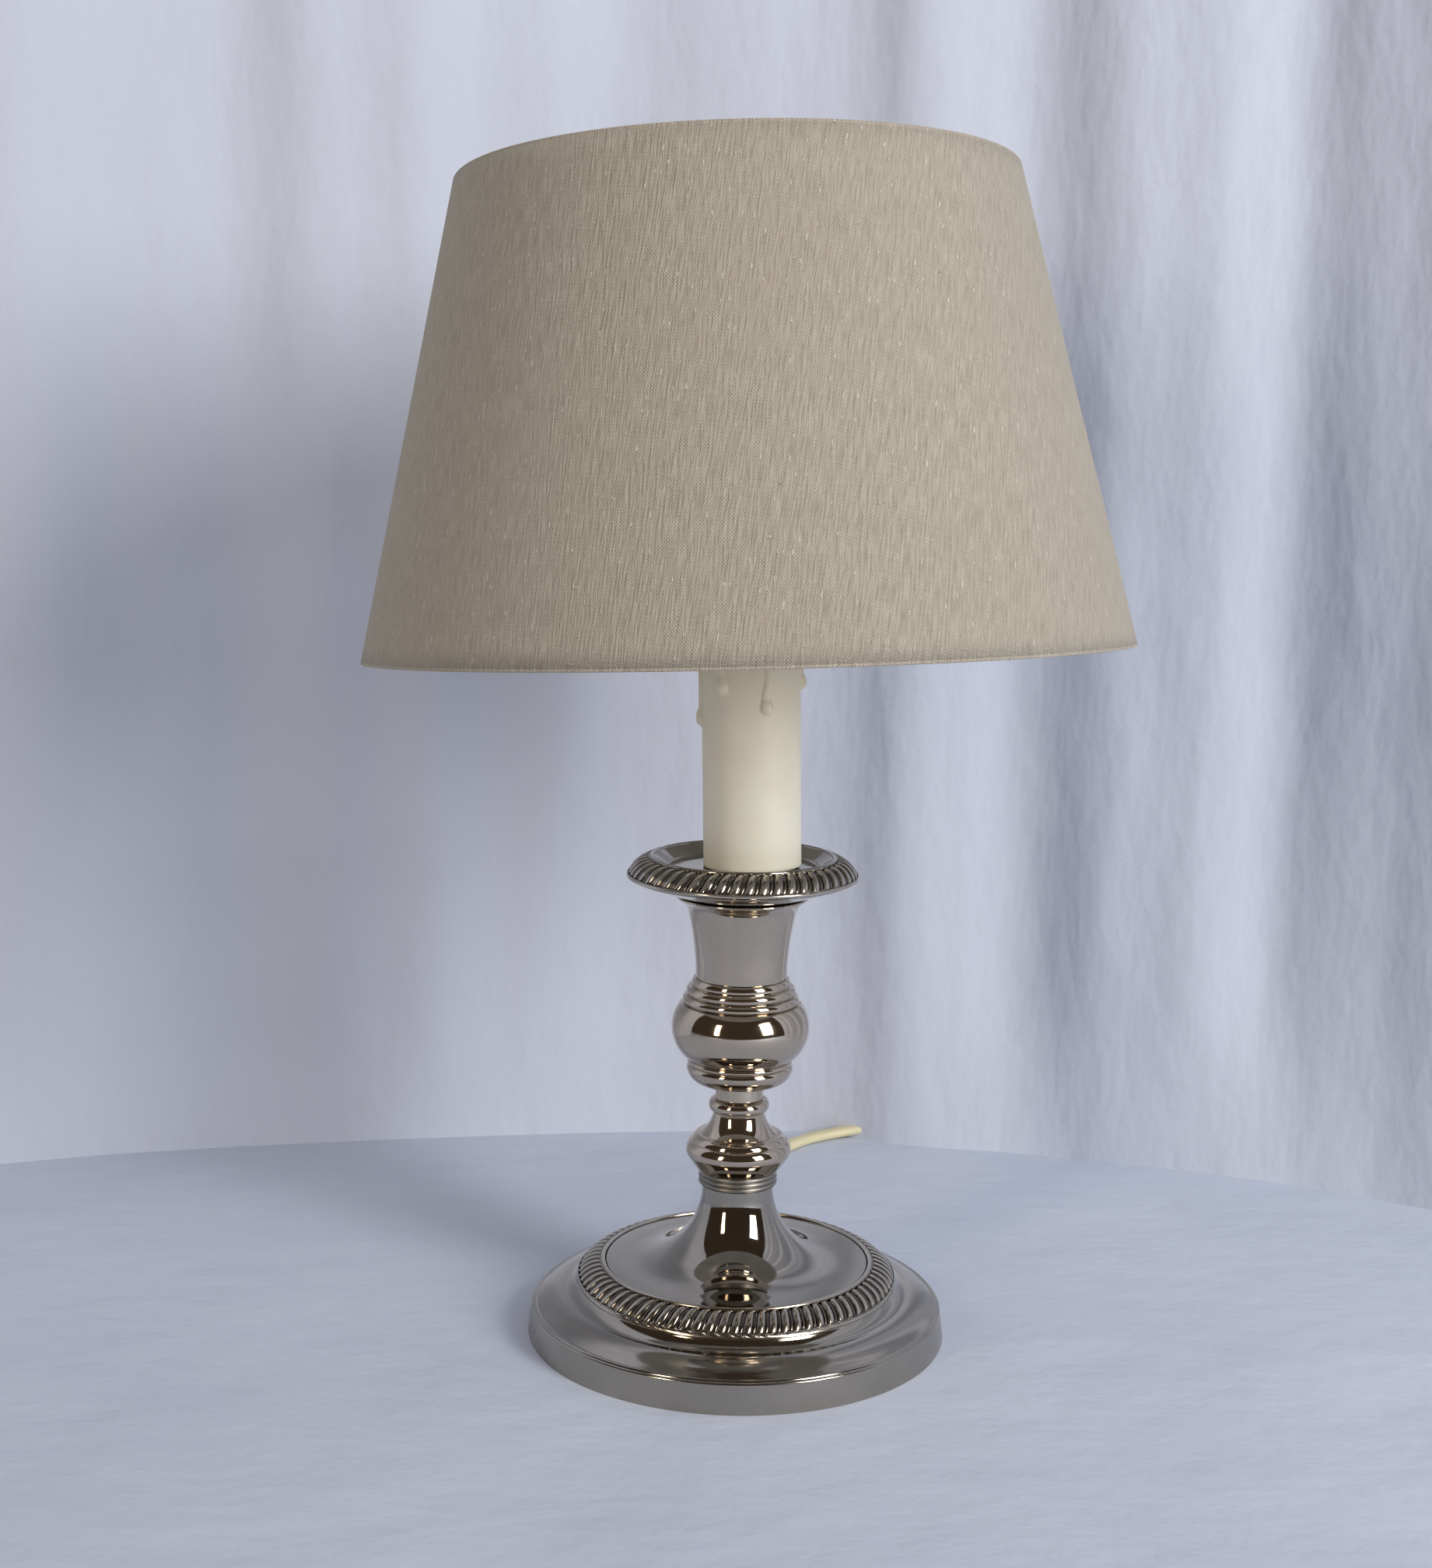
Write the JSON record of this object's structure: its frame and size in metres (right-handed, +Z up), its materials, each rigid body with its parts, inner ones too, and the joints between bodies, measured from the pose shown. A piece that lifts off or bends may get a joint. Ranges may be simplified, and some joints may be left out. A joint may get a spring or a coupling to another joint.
{
  "type": "candlestick lamp",
  "caption": "Table lamp in the form of a plated candlestick, with a candle sleeve over the lampholder and a tapered linen shade clipped on the bulb.",
  "frame": {"origin": "middle of the face that the foot stands on, on the axis of the stick", "axes": "+Z up along the stick, -Y towards the front of the lamp, +Y towards the lead, +X to the right seen from the front"},
  "size_m": [0.2536, 0.3837, 0.3119],
  "materials": {
    "plated_metal": "polished nickel plate, slightly tarnished",
    "dull_plate": "dull worn plate",
    "cast_weight": "rough cast",
    "zinc_steel": "zinc plated",
    "spring_wire": "bright drawn wire",
    "white_wire": "white enamel",
    "brass": "bright brass",
    "nickel": "nickel plated brass",
    "holder_plastic": "moulded, satin",
    "wax_plastic": "ivory, wax look",
    "glass": "clear",
    "linen": "plain linen weave",
    "lining": "white styrene, satin",
    "hem": "folded linen edge",
    "felt": "felt",
    "board": "pressed board",
    "ivory_pvc": "ivory, semi-gloss",
    "brown_core": "brown insulation",
    "blue_core": "blue insulation"
  },
  "bodies": {
    "stand": {"foot_shell": "plated_metal", "foot_border": "plated_metal", "foot_dish": "plated_metal", "neck_collar": "dull_plate", "lower_knop": "plated_metal", "stem_neck": "plated_metal", "ball_foot": "plated_metal", "ball_knop": "plated_metal", "stepped_rings": "plated_metal", "vase_socket": "plated_metal", "drip_pan": "plated_metal", "pan_border": "plated_metal", "threaded_tube": "zinc_steel", "lower_nut": "zinc_steel", "lower_washer": "zinc_steel", "upper_nut": "zinc_steel", "base_weight": "cast_weight", "base_cover": "board", "felt_disc": "felt", "holder_cap": "holder_plastic", "holder_body": "holder_plastic", "terminal_block": "holder_plastic", "holder_shell": "brass", "centre_contact": "brass", "strain_relief": "ivory_pvc", "inner_lead": "ivory_pvc", "lead_wedge": "ivory_pvc", "core_brown": "brown_core", "core_blue": "blue_core", "cord_lead": "ivory_pvc", "cord_tail": "ivory_pvc", "cord_coil": "ivory_pvc", "cord_end": "ivory_pvc", "coil_tie": "ivory_pvc", "switch_base": "ivory_pvc", "switch_cover": "ivory_pvc", "rocker_pin": "zinc_steel", "switch_screws": "zinc_steel", "plug_body": "ivory_pvc", "plug_pins": "nickel"},
    "sleeve": {"candle_sleeve": "wax_plastic"},
    "bulb": {"bulb_cap": "nickel", "bulb_tip": "nickel", "bulb_glass": "glass", "bulb_stem": "glass", "filament": "spring_wire"},
    "clip": {"bulb_clip": "spring_wire", "swivel_rivet": "zinc_steel"},
    "yoke": {"shade_yoke": "zinc_steel", "tilt_pin": "zinc_steel"},
    "shade": {"shade_frame": "white_wire", "shade_lower_ring": "white_wire", "shade_linen": "linen", "shade_lining": "lining", "upper_hem": "hem", "lower_hem": "hem"},
    "rocker": {"switch_rocker": "ivory_pvc"}
  },
  "joints": [
    {"name": "sleeve_turn", "type": "hinge", "parent": "stand", "child": "sleeve", "pos_m": [0.0025, 0, 0.12906], "axis": [-0.0244, 0, 0.9997], "continuous": true},
    {"name": "bulb_unscrew", "type": "hinge", "parent": "stand", "child": "bulb", "pos_m": [-0.00152, 0, 0.19098], "axis": [-0.0244, 0, 0.9997], "continuous": true},
    {"name": "clip_pull_off", "type": "slide", "parent": "bulb", "child": "clip", "axis": [-0.0244, 0, 0.9997], "range_m": [0, 0.08]},
    {"name": "shade_turn", "type": "hinge", "parent": "clip", "child": "yoke", "pos_m": [-0.00383, 0, 0.28581], "axis": [-0.0244, 0, 0.9997], "continuous": true},
    {"name": "shade_tilt", "type": "hinge", "parent": "yoke", "child": "shade", "pos_m": [-0.004, 0, 0.29246], "axis": [0.9452, 0.3256, 0.0231], "range_deg": [-12.23, 17.77]},
    {"name": "switch_rock", "type": "hinge", "parent": "stand", "child": "rocker", "pos_m": [0.092, 0.177, 0.0106], "axis": [-0.1564, 0.9877, 0], "range_deg": [0, 14]}
  ]
}
